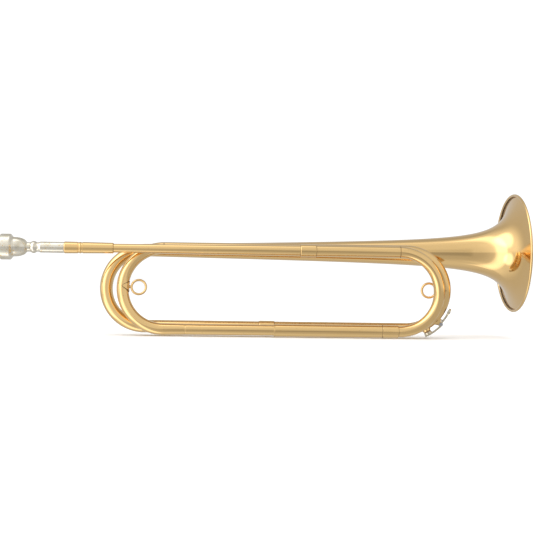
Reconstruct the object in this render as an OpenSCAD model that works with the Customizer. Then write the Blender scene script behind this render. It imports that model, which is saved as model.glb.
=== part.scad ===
// Bugle: a two-turn coil of brass tube with a pull-out front tuning slide, two strap
// rings, a sprung water key on the rear bow and a removable mouthpiece.
//
// Axes: +X runs from the player's end to the bell along the leadpipe, +Z is up in the
// playing position, and +Y runs from the tuning slide's side to the bell's side.
// Origin: the centre of the receiver's mouth, where the mouthpiece goes in.
//
// The air goes through the mouthpiece, receiver, leadpipe, tuning slide, first return
// tube, front left bow, middle tube, rear right bow, second return tube, rear left bow
// and bell.

/* [Mouthpiece] */
// Length from the rim to the end of the shank
mp_len = 88; // [84:0.5:96]
// Length of shank seated in the receiver
mp_seat = 22; // [18:0.5:24]
// Outside diameter of the rim
mp_rim_d = 26.8; // [25:0.1:29]
// Length of the thick rim along the axis
mp_rim_len = 11.6; // [9:0.1:13]
// Inside diameter of the cup at the rim
mp_cup_d = 16.6; // [15.5:0.1:17.5]
// Depth of the cup
mp_cup_depth = 13; // [10:0.5:16]
// Outside diameter of the cup behind the rim
mp_bowl_d = 20.2; // [19.5:0.1:22]
// Distance from the rim to the narrow waist behind the cup
mp_waist_at = 28.6; // [27:0.1:31]
// Outside diameter of the waist
mp_waist_d = 9.8; // [9:0.1:10.5]
// Outside diameter of the turned bead on the stem
mp_bead_d = 12.7; // [11.5:0.1:14]
// Outside diameter of the stem between the bead and the receiver
mp_stem_d = 11.4; // [11:0.1:11.7]
// Bore of the throat
mp_throat_d = 3.8; // [3.4:0.1:4.5]
// Bore at the end of the shank
mp_exit_d = 7.8; // [7:0.1:8.5]
// Diameter of the shank where it meets the receiver's mouth
shank_d = 11.2; // [10.8:0.1:11.4]
// Loss of shank diameter per millimetre of length
shank_taper = 0.05; // [0.04:0.005:0.055]

/* [Receiver and leadpipe] */
// Length of the receiver
receiver_len = 50.5; // [45:0.5:58]
// Outside diameter of the receiver at its mouth
receiver_mouth_d = 12.4; // [12:0.1:14]
// Outside diameter of the receiver at its leadpipe end
receiver_tail_d = 11.1; // [10.5:0.1:12]
// Distance from the mouth to the ridge between the two turned grooves
receiver_ridge_at = 16.4; // [12:0.1:20]
// Outside diameter of the leadpipe at the receiver
lead_small_d = 9.1; // [8.6:0.1:9.6]
// Outside diameter of the leadpipe at its ferrule
lead_large_d = 11.2; // [10.5:0.1:11.6]
// Distance from the receiver's mouth to the leadpipe's ferrule
lead_ferrule_at = 244.4; // [230:0.1:255]

/* [Coil] */
// Drop from the leadpipe's axis to the axis of the first return tube
coil_drop = 83.2; // [78:0.1:90]
// Sideways step between one turn of tube and the next
turn_step = 13.8; // [13.8:0.1:16]
// Height of the middle tube's axis above the leadpipe's axis
middle_rise = 1.1; // [0:0.1:3]
// Height of the second return tube's axis above the first one's
return_rise = 2.2; // [1.8:0.1:4]
// Drop from the leadpipe's axis to the bell's tail
tail_drop = 1.2; // [0:0.1:3]
// Distance from the receiver's mouth to the ends of the front left bow
front_left_at = 102.5; // [96:0.5:112]
// Distance from the receiver's mouth to the ends of the rear right bow
rear_right_at = 358; // [352:0.5:362]
// Distance from the receiver's mouth to the ends of the rear left bow
rear_left_at = 82; // [76:0.5:92]
// Distance from the receiver's mouth to the tuning slide's seam
slide_seam_at = 349; // [344:0.5:352]
// Wall of the tubes and bows
tube_wall = 0.6; // [0.5:0.05:0.8]
// Length of the half-lap where one tube fits in the next
lap_len = 6; // [4:0.5:8]

/* [Tube diameters] */
// Outside diameter of the tuning slide's bow and of the sleeve it meets
slide_bow_d = 11.8; // [11.4:0.1:12]
// Outside diameter of the first return tube, which is the slide's lower inner leg
first_return_d = 11.4; // [11.2:0.1:11.6]
// Outside diameter of the front left bow
front_left_d = 12.4; // [11.8:0.1:12.6]
// Outside diameter of the rear right bow and of the middle tube's end
rear_right_d = 12.8; // [12.4:0.1:12.9]
// Outside diameter of the second return tube
second_return_d = 12.9; // [12.7:0.1:13]
// Outside diameter of the rear left bow
rear_left_d = 13.4; // [13.1:0.1:13.6]
// How far a ferrule stands out from the larger tube it covers
ferrule_lip = 0.7; // [0.5:0.1:0.9]
// Length of the leadpipe's ferrule
ferrule_len = 16.5; // [12:0.5:20]
// Length of the second return tube's ferrule
return_ferrule_len = 16; // [12:0.5:20]

/* [Tuning slide] */
// Length of the upper inner leg inside its sleeve
slide_leg_len = 84; // [75:1:90]
// Length of the lower sleeve, from its open end to its ferrule
slide_sleeve_len = 113.5; // [100:0.5:118]
// Wall of the lower sleeve
slide_sleeve_wall = 0.8; // [0.7:0.05:0.85]
// Radial clearance between a slide leg and its sleeve
slide_gap = 0.05; // [0.03:0.01:0.08]
// Seam left between the bow and the upper sleeve when the slide is in
seam_gap = 0.15; // [0.05:0.05:0.3]
// Length of the lower ferrule that joins the bow to the lower sleeve
slide_ferrule_len = 16.8; // [12:0.1:20]

/* [Bell] */
// Length of the bell along its own axis
bell_len = 398.5; // [385:0.5:405]
// Distance along the bell from its tail's end to where the flared part is brazed on
bell_seam_at = 258; // [240:1:280]
// Diameter over the rolled rim
bell_d = 128.6; // [120:0.1:132]
// Outside diameter of the bell's tail
bell_tail_d = 13.4; // [13.1:0.1:13.6]
// Gain in radius per millimetre along the slow part of the bell
bell_cone = 0.0145; // [0.012:0.0005:0.017]
// Length over which the mouth flares most sharply
bell_flare = 15.4; // [12:0.1:20]
// How sharply the flare opens
bell_power = 1.15; // [1:0.01:1.5]
// Wall of the bell
bell_wall = 0.6; // [0.5:0.05:0.8]
// Angle by which the bell rises from the leadpipe's direction
bell_rise = 0.36; // [0.3:0.02:0.6]
// Angle by which the bell turns away from the coil
bell_splay = 2.6; // [1.8:0.1:4]
// Diameter of the rolled bead at the rim
bead_d = 3; // [2.4:0.1:3.6]
// Diameter of the wire inside the bead
bead_wire_d = 1.9; // [1.4:0.1:2]

/* [Strap rings] */
// Outside diameter of a strap ring
ring_d = 17; // [15:0.1:19]
// Diameter of the ring's wire
ring_wire_d = 2.1; // [1.8:0.1:2.4]
// Width of the worn flat land inside the ring
ring_land = 1; // [0.8:0.1:1.2]
// Angle of the left ring above the middle of its bow
left_ring_up = 2; // [-5:0.5:5]
// Length of a ring's diamond-shaped foot along the bow
ring_foot_len = 10.8; // [8:0.1:13]
// Thickness of a foot
foot_t = 0.8; // [0.6:0.1:1]

/* [Water key] */
// Angle of the key's spout below the rear right bow's middle
key_spout_at = 62; // [58:0.5:66]
// Angle from the spout up to the pivot
key_pivot_up = 18; // [17:0.5:20]
// Angle from the pivot up to the middle of the thumb touch
key_touch_up = 17.5; // [15:0.5:20]
// Distance from the bow's outer face to the pivot
key_pivot_h = 3.6; // [3.4:0.1:4.2]
// Distance from the bow's outer face to the thumb arm
key_arm_h = 2.7; // [2.4:0.1:3.2]
// Height of the spout above the bow's outer face
key_spout_h = 1.2; // [1:0.1:1.6]
// Diameter of the spout's flange
key_spout_d = 8.6; // [7.5:0.1:9.5]
// Bore of the spout
key_bore_d = 3; // [2.5:0.1:3.5]
// Diameter of the cork
cork_d = 7; // [6:0.1:8]
// Thickness of the cork
cork_t = 2.6; // [2:0.1:3]
// Depth to which the cork sits in its cap
cork_seat = 1.6; // [1:0.1:1.8]
// Wall of the cork's cap
cork_cap_wall = 0.6; // [0.5:0.1:0.8]
// Width of the lever
lever_w = 4; // [3.5:0.1:5]
// Thickness of the lever
lever_t = 1.6; // [1.2:0.1:1.8]
// Diameter of the thumb touch
touch_d = 8; // [6:0.5:9]
// Diameter of the lever's hub
hub_d = 4.4; // [4:0.1:5]
// Width of the hub along the pivot
hub_w = 5; // [4.6:0.1:6]
// Thickness of each ear
ear_t = 1.2; // [1:0.1:1.6]
// Side clearance between the hub and each ear
ear_gap = 0.1; // [0.05:0.05:0.2]
// Diameter of the pivot screw
screw_d = 2; // [1.8:0.1:2.2]
// Radial clearance of the pivot screw in the hub
screw_gap = 0.05; // [0.03:0.01:0.08]
// Diameter of the spring's wire
spring_wire_d = 0.5; // [0.4:0.1:0.6]

/* [Stays] */
// Distance from the receiver's mouth to the left row of stays
stay_left_at = 141.5; // [135:0.5:150]
// Distance from the receiver's mouth to the stay on the upper slide sleeve
stay_right_at = 318; // [300:0.5:330]
// Diameter of a stay's post
stay_post_d = 4; // [3:0.1:4.5]
// Diameter of the round foot at each end of a stay
stay_foot_d = 8; // [6:0.1:9]

/* [Hidden] */
$fn = 96;
eps = 0.02;

BRASS = "#d9b877";
SILVER = "#d8d0c0";
NICKEL = "#b9b2a4";
STEEL = "#8d8f92";
CORK = "#8a5a2c";

// Clearance of the mouthpiece's shank in the receiver, measured on the radius
shank_gap = 0.03;
// How far the slide's inner leg and its bow overlap where they are butted, on the radius
leg_overlap = 0.05;
// How much nearer than a full step the bell's tail lies to the middle tube
tail_tuck = 0.3;
// Lengths of the bows' straight legs
front_left_leg = 23;
rear_right_upper_leg = 20;
rear_right_lower_leg = 85;
rear_left_leg = 120.6;
// Length of plain bow between the slide's lower ferrule and the start of its bend
slide_bow_leg = 1.3;
// Blend radius of turned outer edges
edge_r = 0.4;

// Radii that follow from the diameters above
shank_r = shank_d / 2;
lead_small_r = lead_small_d / 2;
lead_large_r = lead_large_d / 2;
slide_bow_r = slide_bow_d / 2;
slide_leg_r = slide_bow_r - tube_wall + leg_overlap;
upper_sleeve_bore_r = slide_leg_r + slide_gap;
slide_leg_wall = 0.5;
first_return_r = first_return_d / 2;
lower_sleeve_bore_r = first_return_r + slide_gap;
lower_sleeve_r = lower_sleeve_bore_r + slide_sleeve_wall;
front_left_r = front_left_d / 2;
rear_right_r = rear_right_d / 2;
second_return_r = second_return_d / 2;
rear_left_r = rear_left_d / 2;
bell_tail_r = bell_tail_d / 2;
bell_r = bell_d / 2;

// Places of the four turns: y and z of each straight tube's axis
lead_yz = [0, 0];
first_return_yz = [0, -coil_drop];
middle_yz = [turn_step, middle_rise];
second_return_yz = [turn_step, return_rise - coil_drop];
tail_yz = [2 * turn_step - tail_tuck, -tail_drop];

// Joints along the tubes
lead_joint_at = lead_ferrule_at + ferrule_len / 2;
front_lower_joint_at = front_left_at + front_left_leg;
middle_joint_at = rear_right_at - rear_right_upper_leg;
rear_lower_joint_at = rear_right_at - rear_right_lower_leg;
return_ferrule_at = rear_left_at + rear_left_leg;
return_joint_at = return_ferrule_at + return_ferrule_len / 2;
slide_face_at = slide_seam_at + seam_gap;
slide_ferrule_end = slide_face_at - slide_bow_leg;
slide_ferrule_start = slide_ferrule_end - slide_ferrule_len;
slide_lap_at = slide_ferrule_end - slide_ferrule_len / 2;
slide_sleeve_start = slide_ferrule_start - slide_sleeve_len;

// ---------------------------------------------------------------- shared shapes

// Turns a profile of [radius, distance] points about the X axis.
module turned(profile) {
    rotate([0, 90, 0]) rotate_extrude() polygon(profile);
}

// Moves to the axis of a straight tube whose y and z are given.
module on_axis(yz) {
    translate([0, yz[0], yz[1]]) children();
}

// A solid cone or cylinder along X.
module bar(x0, x1, r0, r1) {
    translate([x0, 0, 0]) rotate([0, 90, 0]) cylinder(h = x1 - x0, r1 = r0, r2 = r1);
}

// A straight tube along X with the same wall throughout.
module tube(x0, x1, r0, r1, wall = tube_wall) {
    turned([[r0, x0], [r1, x1], [r1 - wall, x1], [r0 - wall, x0]]);
}

// The thin half of a half-lap joint, which reaches from x0 to x1 inside the next tube.
module lap(x0, x1, r) {
    tube(x0, x1, r - tube_wall / 2, r - tube_wall / 2, tube_wall / 2);
}

// The room for that thin half, cut from the tube that receives it.
module lap_room(x0, x1, r) {
    bar(x0, x1, r - tube_wall / 2, r - tube_wall / 2);
}

// A turned ferrule with rounded ends, solid inside.
module ferrule_body(x0, x1, r) {
    turned([[0, x0], [r - edge_r, x0], [r, x0 + edge_r], [r, x1 - edge_r],
        [r - edge_r, x1], [0, x1]]);
}

// Places a bow: its plane holds X and the line from the lower to the upper tube.
module bow_plane(x, low, high) {
    span = high - low;
    translate([x, (low[0] + high[0]) / 2, (low[1] + high[1]) / 2])
        rotate([-atan2(span[0], span[1]), 0, 0]) children();
}

function bow_radius(low, high) = norm(high - low) / 2;

// Half a ring of round section in the XZ plane, bulging to +X.
module half_ring(radius, r_out, r_in = 0) {
    rotate([-90, 0, 0]) rotate([0, 0, -90]) rotate_extrude(angle = 180, $fn = 360)
        translate([radius, 0]) difference() {
            circle(r_out);
            if (r_in > 0) circle(r_in);
        }
}

// Turns a shape that bulges to +X so that it bulges to -X.
module to_left() {
    rotate([0, 180, 0]) children();
}

// The curve of a bow, hollow, bulging to +X or, when left, to -X.
module bow_curve(x, low, high, r) {
    bow_plane(x, low, high) half_ring(bow_radius(low, high), r, r - tube_wall);
}

// A bow that bulges to -X, joined to its lower leg before both are leaned into place. The
// children are the leg, along X from the bend.
module left_bow(x, low, high, r) {
    bow_plane(x, low, high) union() {
        to_left() half_ring(bow_radius(low, high), r, r - tube_wall);
        translate([0, 0, -bow_radius(low, high)]) children();
    }
}

// Moves to the axis of a bow's straight leg, which shares the bow's plane: up is 1 for
// the upper leg and -1 for the lower one.
module bow_leg(low, high, up) {
    bow_plane(0, low, high) translate([0, 0, up * bow_radius(low, high)]) children();
}

function ellipse_arc(c, rx, ry, a0, a1, n) =
    [for (i = [0:n]) let (a = a0 + (a1 - a0) * i / n) [c[0] + rx * cos(a), c[1] + ry * sin(a)]];

// ---------------------------------------------------------------- mouthpiece

mp_start = mp_seat - mp_len;

// Outline of the mouthpiece: [radius, distance from the rim], outside then bore.
function mp_outside() =
    let (
        rim_r = mp_rim_d / 2,
        bowl_r = mp_bowl_d / 2,
        waist_r = mp_waist_d / 2,
        bead_r = mp_bead_d / 2,
        stem_r = mp_stem_d / 2,
        round_r = 2.2,
        bowl_at = mp_rim_len + 3,
        bead_half = 3.4,
        bead_at = mp_waist_at + bead_half + 2.6,
        stem_at = bead_at + bead_half + 3.4,
        seam_at = mp_len - mp_seat
    ) concat(
        ellipse_arc([rim_r - round_r, round_r], round_r, round_r, -90, 0, 6),
        [[rim_r, mp_rim_len - 0.6], [rim_r - 0.6, mp_rim_len]],
        [[bowl_r + 1.1, mp_rim_len + 1.2], [bowl_r + 0.3, mp_rim_len + 2]],
        ellipse_arc([waist_r, bowl_at], bowl_r - waist_r, mp_waist_at - bowl_at - 1.4, 0, 80, 10),
        [[waist_r, mp_waist_at - 0.4], [waist_r, mp_waist_at + 0.8]],
        [for (i = [0:10]) let (t = i / 10)
            [waist_r + (bead_r - waist_r) * sin(180 * t), bead_at + bead_half * (2 * t - 1)]],
        [[waist_r, stem_at - 2.4], [stem_r - 0.25, stem_at - 0.4], [stem_r, stem_at]],
        [[stem_r, seam_at - 0.9], [shank_r, seam_at - 0.3], [shank_r, seam_at]],
        [[shank_r - shank_taper * mp_seat / 2, mp_len]]
    );

function mp_inside() =
    let (
        cup_r = mp_cup_d / 2,
        throat_r = mp_throat_d / 2,
        round_r = 2.2,
        cup_from = round_r + 0.4
    ) concat(
        [[mp_exit_d / 2, mp_len], [throat_r, mp_cup_depth + 6]],
        [for (i = [12:-1:1]) let (a = 90 * i / 12)
            [throat_r + (cup_r - throat_r) * cos(a), cup_from + (mp_cup_depth - cup_from) * sin(a)]],
        ellipse_arc([cup_r + round_r, round_r], round_r, round_r, 180, 270, 6)
    );

module mouthpiece() {
    color(SILVER) translate([mp_start, 0, 0]) turned(concat(mp_outside(), mp_inside()));
}

// ---------------------------------------------------------------- receiver and leadpipe

// The receiver's shank bore ends a little past the shank; the leadpipe starts there.
lead_start = mp_seat + 2;

module mouthpiece_receiver() {
    mouth_r = receiver_mouth_d / 2;
    tail_r = receiver_tail_d / 2;
    groove = 0.35;
    ridge_half = 0.9;
    slope = (tail_r - mouth_r) / receiver_len;
    function outer(x) = mouth_r + slope * x;
    bore_mouth_r = shank_r + shank_gap;
    bore_end_r = bore_mouth_r - shank_taper * lead_start / 2;
    r1 = receiver_ridge_at - 3 * ridge_half;
    r2 = receiver_ridge_at + 3 * ridge_half;
    color(BRASS) turned([
        [mouth_r - edge_r, 0], [mouth_r, edge_r],
        [outer(r1), r1], [outer(r1) - groove, r1 + 0.3],
        [outer(r1) - groove, receiver_ridge_at - ridge_half],
        [outer(receiver_ridge_at), receiver_ridge_at - ridge_half / 2],
        [outer(receiver_ridge_at), receiver_ridge_at + ridge_half / 2],
        [outer(r2) - groove, receiver_ridge_at + ridge_half],
        [outer(r2) - groove, r2 - 0.3], [outer(r2), r2],
        [tail_r, receiver_len - edge_r], [tail_r - edge_r, receiver_len],
        [lead_small_r, receiver_len], [lead_small_r, lead_start],
        [bore_end_r, lead_start], [bore_mouth_r, 0]
    ]);
}

module lead_outside() {
    turned([[0, lead_start], [lead_small_r, lead_start], [lead_small_r, receiver_len],
        [lead_large_r, lead_ferrule_at], [lead_large_r, lead_joint_at], [0, lead_joint_at]]);
}

module leadpipe() {
    color(BRASS) difference() {
        lead_outside();
        turned([[0, lead_start - eps], [lead_small_r - tube_wall, lead_start - eps],
            [lead_small_r - tube_wall, receiver_len], [lead_large_r - tube_wall, lead_ferrule_at],
            [lead_large_r - tube_wall, lead_joint_at + eps], [0, lead_joint_at + eps]]);
    }
}

module leadpipe_ferrule() {
    color(BRASS) difference() {
        ferrule_body(lead_ferrule_at, lead_ferrule_at + ferrule_len, slide_bow_r + ferrule_lip);
        bar(lead_ferrule_at - eps, lead_joint_at, lead_large_r, lead_large_r);
        bar(lead_joint_at - eps, lead_ferrule_at + ferrule_len + eps, slide_bow_r, slide_bow_r);
    }
}

module upper_slide_sleeve() {
    color(BRASS) tube(lead_joint_at, slide_seam_at, slide_bow_r, slide_bow_r,
        slide_bow_r - upper_sleeve_bore_r);
}

// ---------------------------------------------------------------- tuning slide

module slide_upper_leg() {
    color(BRASS) tube(slide_face_at - slide_leg_len, slide_face_at, slide_leg_r, slide_leg_r,
        slide_leg_wall);
}

module slide_bow() {
    color(BRASS) {
        bow_curve(slide_face_at, first_return_yz, lead_yz, slide_bow_r);
        bow_leg(first_return_yz, lead_yz, -1)
            tube(slide_lap_at, slide_face_at, slide_bow_r, slide_bow_r);
    }
}

// The sleeve's end is turned down so that the ferrule fits over it flush.
slide_step_r = lower_sleeve_r - slide_sleeve_wall / 2;

module slide_ferrule() {
    color(BRASS) on_axis(first_return_yz) difference() {
        ferrule_body(slide_ferrule_start, slide_ferrule_end, lower_sleeve_r + 0.1);
        bar(slide_ferrule_start - eps, slide_lap_at, slide_step_r, slide_step_r);
        bar(slide_lap_at - eps, slide_ferrule_end + eps, slide_bow_r, slide_bow_r);
    }
}

module slide_lower_sleeve() {
    end_ring = 1.2;
    end_r = lower_sleeve_r + 0.12;
    color(BRASS) on_axis(first_return_yz) turned([
        [lower_sleeve_bore_r, slide_sleeve_start], [end_r, slide_sleeve_start],
        [end_r, slide_sleeve_start + end_ring], [lower_sleeve_r, slide_sleeve_start + end_ring],
        [lower_sleeve_r, slide_ferrule_start], [slide_step_r, slide_ferrule_start],
        [slide_step_r, slide_lap_at], [lower_sleeve_bore_r, slide_lap_at]
    ]);
}

// ---------------------------------------------------------------- coil

// Distance from the lower sleeve's ferrule joint back to the end of the first return tube.
return_end_gap = 12;

module first_return_tube() {
    color(BRASS) on_axis(first_return_yz) tube(front_lower_joint_at, slide_lap_at - return_end_gap,
        first_return_r, first_return_r);
}

// The bow's lower leg narrows to the first return tube, and the two are butted flush.
module front_left_bow() {
    color(BRASS) left_bow(front_left_at, first_return_yz, middle_yz, front_left_r)
        tube(0, front_left_leg, front_left_r, first_return_r);
}

module middle_outside() {
    on_axis(middle_yz) bar(front_left_at, middle_joint_at, front_left_r, rear_right_r);
}

module middle_tube() {
    color(BRASS) on_axis(middle_yz) {
        tube(front_left_at, middle_joint_at, front_left_r, rear_right_r);
        lap(middle_joint_at, middle_joint_at + lap_len, rear_right_r);
    }
}

module rear_right_bow() {
    color(BRASS) difference() {
        union() {
            bow_curve(rear_right_at, second_return_yz, middle_yz, rear_right_r);
            bow_leg(second_return_yz, middle_yz, 1) difference() {
                tube(middle_joint_at, rear_right_at, rear_right_r, rear_right_r);
                lap_room(middle_joint_at - eps, middle_joint_at + lap_len, rear_right_r);
            }
            bow_leg(second_return_yz, middle_yz, -1) difference() {
                tube(rear_lower_joint_at, rear_right_at, second_return_r, rear_right_r);
                lap_room(rear_lower_joint_at - eps, rear_lower_joint_at + lap_len, second_return_r);
            }
        }
        at_spout() cylinder(h = 4 * tube_wall, r = key_bore_d / 2, center = true);
    }
}

module second_return_tube() {
    color(BRASS) on_axis(second_return_yz) {
        tube(return_joint_at, rear_lower_joint_at, second_return_r, second_return_r);
        lap(rear_lower_joint_at, rear_lower_joint_at + lap_len, second_return_r);
    }
}

module return_ferrule() {
    color(BRASS) on_axis(second_return_yz) difference() {
        ferrule_body(return_ferrule_at, return_ferrule_at + return_ferrule_len,
            second_return_r + ferrule_lip);
        bar(return_ferrule_at - eps, return_ferrule_at + return_ferrule_len + eps,
            second_return_r, second_return_r);
    }
}

// Moves to the bell's own axis, with X along it and 0 at the rear left bow's end.
module bell_frame() {
    translate([rear_left_at, tail_yz[0], tail_yz[1]]) rotate([0, -bell_rise, bell_lean])
        children();
}

module rear_left_bow() {
    end = return_joint_at - rear_left_at;
    color(BRASS) left_bow(rear_left_at, second_return_yz, tail_yz, rear_left_r) turned([
        [rear_left_r, 0], [second_return_r, rear_left_leg], [second_return_r, end],
        [second_return_r - tube_wall, end], [second_return_r - tube_wall, rear_left_leg],
        [rear_left_r - tube_wall, 0]]);
}

// ---------------------------------------------------------------- bell

bead_r = bead_d / 2;
bead_wall = (bead_d - bead_wire_d) / 2;
// Outside radius of the sheet where it runs into the bead's wall
mouth_r = bell_r - bead_d + bead_wall / 2;
flare_gain = mouth_r - bell_tail_r - bell_cone * bell_len;

// How far the flare has opened at a distance x along the bell's axis, from 0 to 1.
function opening(x) = pow(bell_flare / (bell_len - x + bell_flare), bell_power);

// Outside radius of the bell at a distance x along its axis.
function bell_radius(x) =
    bell_tail_r + bell_cone * x + flare_gain * (opening(x) - opening(0)) / (1 - opening(0));

// The bell leans out far enough for its flare to pass the rear right bow.
bell_gap = 1;
bow_end = rear_right_at + bow_radius(second_return_yz, middle_yz) + rear_right_r - rear_left_at;
bell_reach = turn_step + rear_right_r + bell_gap + bell_radius(min(bow_end, bell_len)) - tail_yz[0];
bell_lean = max(bell_splay, atan(bell_reach / bow_end));

// Distances along the bell at which its curve is fixed: evenly along the tail, which
// starts inside the rear left bow's end and is cut off square there, then closer together
// towards the mouth.
tail_steps = 10;
flare_steps = 46;
bell_start = -2;
tail_stations = [for (i = [0:tail_steps]) bell_start + (bell_seam_at - bell_start) * i / tail_steps];
flare_stations = [for (i = [0:flare_steps])
    bell_seam_at + (bell_len - bell_seam_at) * (1 - pow(1 - i / flare_steps, 1.7))];

// Wall measured square to the sheet: the inner outline follows the outer one's slope.
function bell_slope(x) = (bell_radius(x) - bell_radius(x - 0.05)) / 0.05;
function bell_inner(x) =
    let (m = bell_slope(x), n = sqrt(1 + m * m))
    [bell_radius(x) - bell_wall / n, x + bell_wall * m / n];

// The outer shape of the bell's tail, solid inside.
module bell_tail_solid() {
    turned(concat([[0, bell_start]], [for (x = tail_stations) [bell_radius(x), x]],
        [[0, bell_seam_at]]));
}

// The sheet along some of the bell's stations, cut square at its first one.
module bell_sheet(stations, square_end = false) {
    last = len(stations) - 1;
    x0 = stations[0];
    x1 = stations[last];
    turned(concat(
        [for (x = stations) [bell_radius(x), x]],
        square_end ? [[bell_radius(x1) - bell_wall, x1]] : [bell_inner(x1)],
        [for (i = [last - 1:-1:1]) bell_inner(stations[i])],
        [[bell_radius(x0) - bell_wall, x0]]
    ));
}

module bell_tail() {
    cut = 4 * bell_tail_r;
    color(BRASS) difference() {
        bell_frame() bell_sheet(tail_stations, square_end = true);
        translate([rear_left_at - cut, tail_yz[0] - cut / 2, tail_yz[1] - cut / 2]) cube(cut);
    }
}

module bell_flare() {
    color(BRASS) bell_frame() {
        bell_sheet(flare_stations);
        turned_ring(bell_len, bell_r - bead_r, bead_r, bead_wire_d / 2);
    }
}

// A round ring about the X axis, hollow when an inner radius is given.
module turned_ring(x, radius, r_out, r_in = 0) {
    rotate([0, 90, 0]) rotate_extrude() translate([radius, x]) difference() {
        circle(r_out, $fn = 48);
        if (r_in > 0) circle(r_in, $fn = 48);
    }
}

module bell_rim_wire() {
    color(STEEL) bell_frame() turned_ring(bell_len, bell_r - bead_r, bead_wire_d / 2);
}

// ---------------------------------------------------------------- stays

// How far a round foot must reach down the side of a tube of radius r to fit it.
foot_spare = 0.3;
function foot_sink(r) = r - sqrt(r * r - stay_foot_d * stay_foot_d / 4) + foot_spare;

// A post with a round foot against each tube, lying along the line between two axes.
// The children are the two tubes, which are cut away so that the feet fit them.
module stay(at, from, to, r_from, r_to) {
    span = to - from;
    gap = norm(span) - r_from - r_to;
    foot_h = min(foot_t, 0.4 * gap);
    low = foot_sink(r_from);
    high = foot_sink(r_to);
    color(BRASS) difference() {
        translate([at, from[0], from[1]]) rotate([atan2(span[1], span[0]) - 90, 0, 0]) {
            translate([0, 0, r_from - low]) cylinder(h = gap + low + high, d = stay_post_d);
            translate([0, 0, r_from - low]) cylinder(h = foot_h + low, d = stay_foot_d);
            translate([0, 0, r_from + gap - foot_h]) cylinder(h = foot_h + high, d = stay_foot_d);
        }
        children();
    }
}

module leadpipe_stay() {
    stay(stay_left_at, lead_yz, middle_yz, lead_small_r, front_left_r) {
        lead_outside();
        middle_outside();
    }
}

module slide_sleeve_stay() {
    stay(stay_right_at, lead_yz, middle_yz, slide_bow_r, rear_right_r) {
        bar(lead_joint_at, slide_seam_at, slide_bow_r, slide_bow_r);
        middle_outside();
    }
}

module return_stay() {
    stay(stay_left_at, first_return_yz, second_return_yz, first_return_r, second_return_r) {
        on_axis(first_return_yz)
            bar(front_lower_joint_at, slide_lap_at, first_return_r, first_return_r);
        on_axis(second_return_yz)
            bar(rear_left_at, return_ferrule_at, rear_left_r, second_return_r);
    }
}

// Centre of the bell's axis at the left row of stays.
bell_stay_x = (stay_left_at - rear_left_at) / cos(bell_lean);
bell_stay_yz = [tail_yz[0] + bell_stay_x * sin(bell_lean), tail_yz[1] + bell_stay_x * sin(bell_rise)];

module bell_stay() {
    stay(stay_left_at, middle_yz, bell_stay_yz, front_left_r, bell_radius(bell_stay_x)) {
        middle_outside();
        bell_frame() bell_tail_solid();
    }
}

// ---------------------------------------------------------------- strap rings

ring_mid_r = (ring_d - ring_wire_d) / 2;
ring_neck_len = 1.6;
ring_neck_d = ring_wire_d + 1.4;
// Depth to which the ring's wire is let into its neck
ring_seat = 0.4;

// A ring in the XZ plane with a flat land inside, centred on the local origin.
module strap_ring() {
    wire_r = ring_wire_d / 2;
    land_r = ring_mid_r - sqrt(wire_r * wire_r - ring_land * ring_land / 4);
    rotate([90, 0, 0]) rotate_extrude() difference() {
        translate([ring_mid_r, 0]) circle(wire_r, $fn = 48);
        translate([0, -wire_r]) square([land_r, ring_wire_d]);
    }
}

// Distance from a bow's inner face to the ring's centre.
ring_reach = foot_t + ring_neck_len + ring_d / 2 - ring_seat;

// A diamond-shaped foot wrapped halfway round the inner side of a bow that bulges to +X,
// with a short neck in which the ring's wire sits.
module ring_foot(radius, r) {
    outer = r + foot_t;
    inner = radius - r;
    difference() {
        union() {
            intersection() {
                half_ring(radius, outer);
                translate([radius, 0, 0]) rotate([0, -90, 0]) linear_extrude(outer + 1)
                    polygon([[-ring_foot_len / 2, 0], [0, -outer], [ring_foot_len / 2, 0], [0, outer]]);
            }
            translate([inner - foot_t - ring_neck_len, 0, 0]) rotate([0, 90, 0])
                cylinder(h = 2 * foot_t + ring_neck_len, d = ring_neck_d);
        }
        half_ring(radius, r);
        translate([inner - ring_reach, 0, 0]) strap_ring_solid();
    }
}

// The ring's round section without its flat land, used to seat it in a foot.
module strap_ring_solid() {
    rotate([90, 0, 0]) rotate_extrude() translate([ring_mid_r, 0]) circle(ring_wire_d / 2, $fn = 48);
}

module on_front_left() {
    bow_plane(front_left_at, first_return_yz, middle_yz)
        to_left() rotate([0, left_ring_up, 0]) children();
}

module on_rear_right() {
    bow_plane(rear_right_at, second_return_yz, middle_yz) children();
}

front_left_radius = bow_radius(first_return_yz, middle_yz);
rear_right_radius = bow_radius(second_return_yz, middle_yz);

module left_ring_foot() {
    color(BRASS) on_front_left() ring_foot(front_left_radius, front_left_r);
}

module left_strap_ring() {
    color(BRASS) on_front_left()
        translate([front_left_radius - front_left_r - ring_reach, 0, 0]) strap_ring();
}

module right_ring_foot() {
    color(BRASS) on_rear_right() ring_foot(rear_right_radius, rear_right_r);
}

module right_strap_ring() {
    color(BRASS) on_rear_right()
        translate([rear_right_radius - rear_right_r - ring_reach, 0, 0]) strap_ring();
}

// ---------------------------------------------------------------- water key

bow_face = rear_right_radius + rear_right_r;
key_pivot_at = key_spout_at - key_pivot_up;
key_touch_at = key_pivot_at - key_touch_up;
pivot_radius = bow_face + key_pivot_h;
cap_d = cork_d + 2 * cork_cap_wall;
cap_top_h = key_spout_h + cork_t + cork_cap_wall;
cap_low_h = cap_top_h - cork_cap_wall - cork_seat;
// The cork arm is bent round the bow, so it clears the edges of the cap's flat top.
cork_arm_h = cap_top_h + cap_d * cap_d / (8 * bow_face);
ear_r = hub_d / 2;
spring_room = 2.2 * spring_wire_d;
ear_inside = hub_w + 2 * ear_gap + spring_room;
saddle_w = ear_inside + 2 * ear_t;

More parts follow.
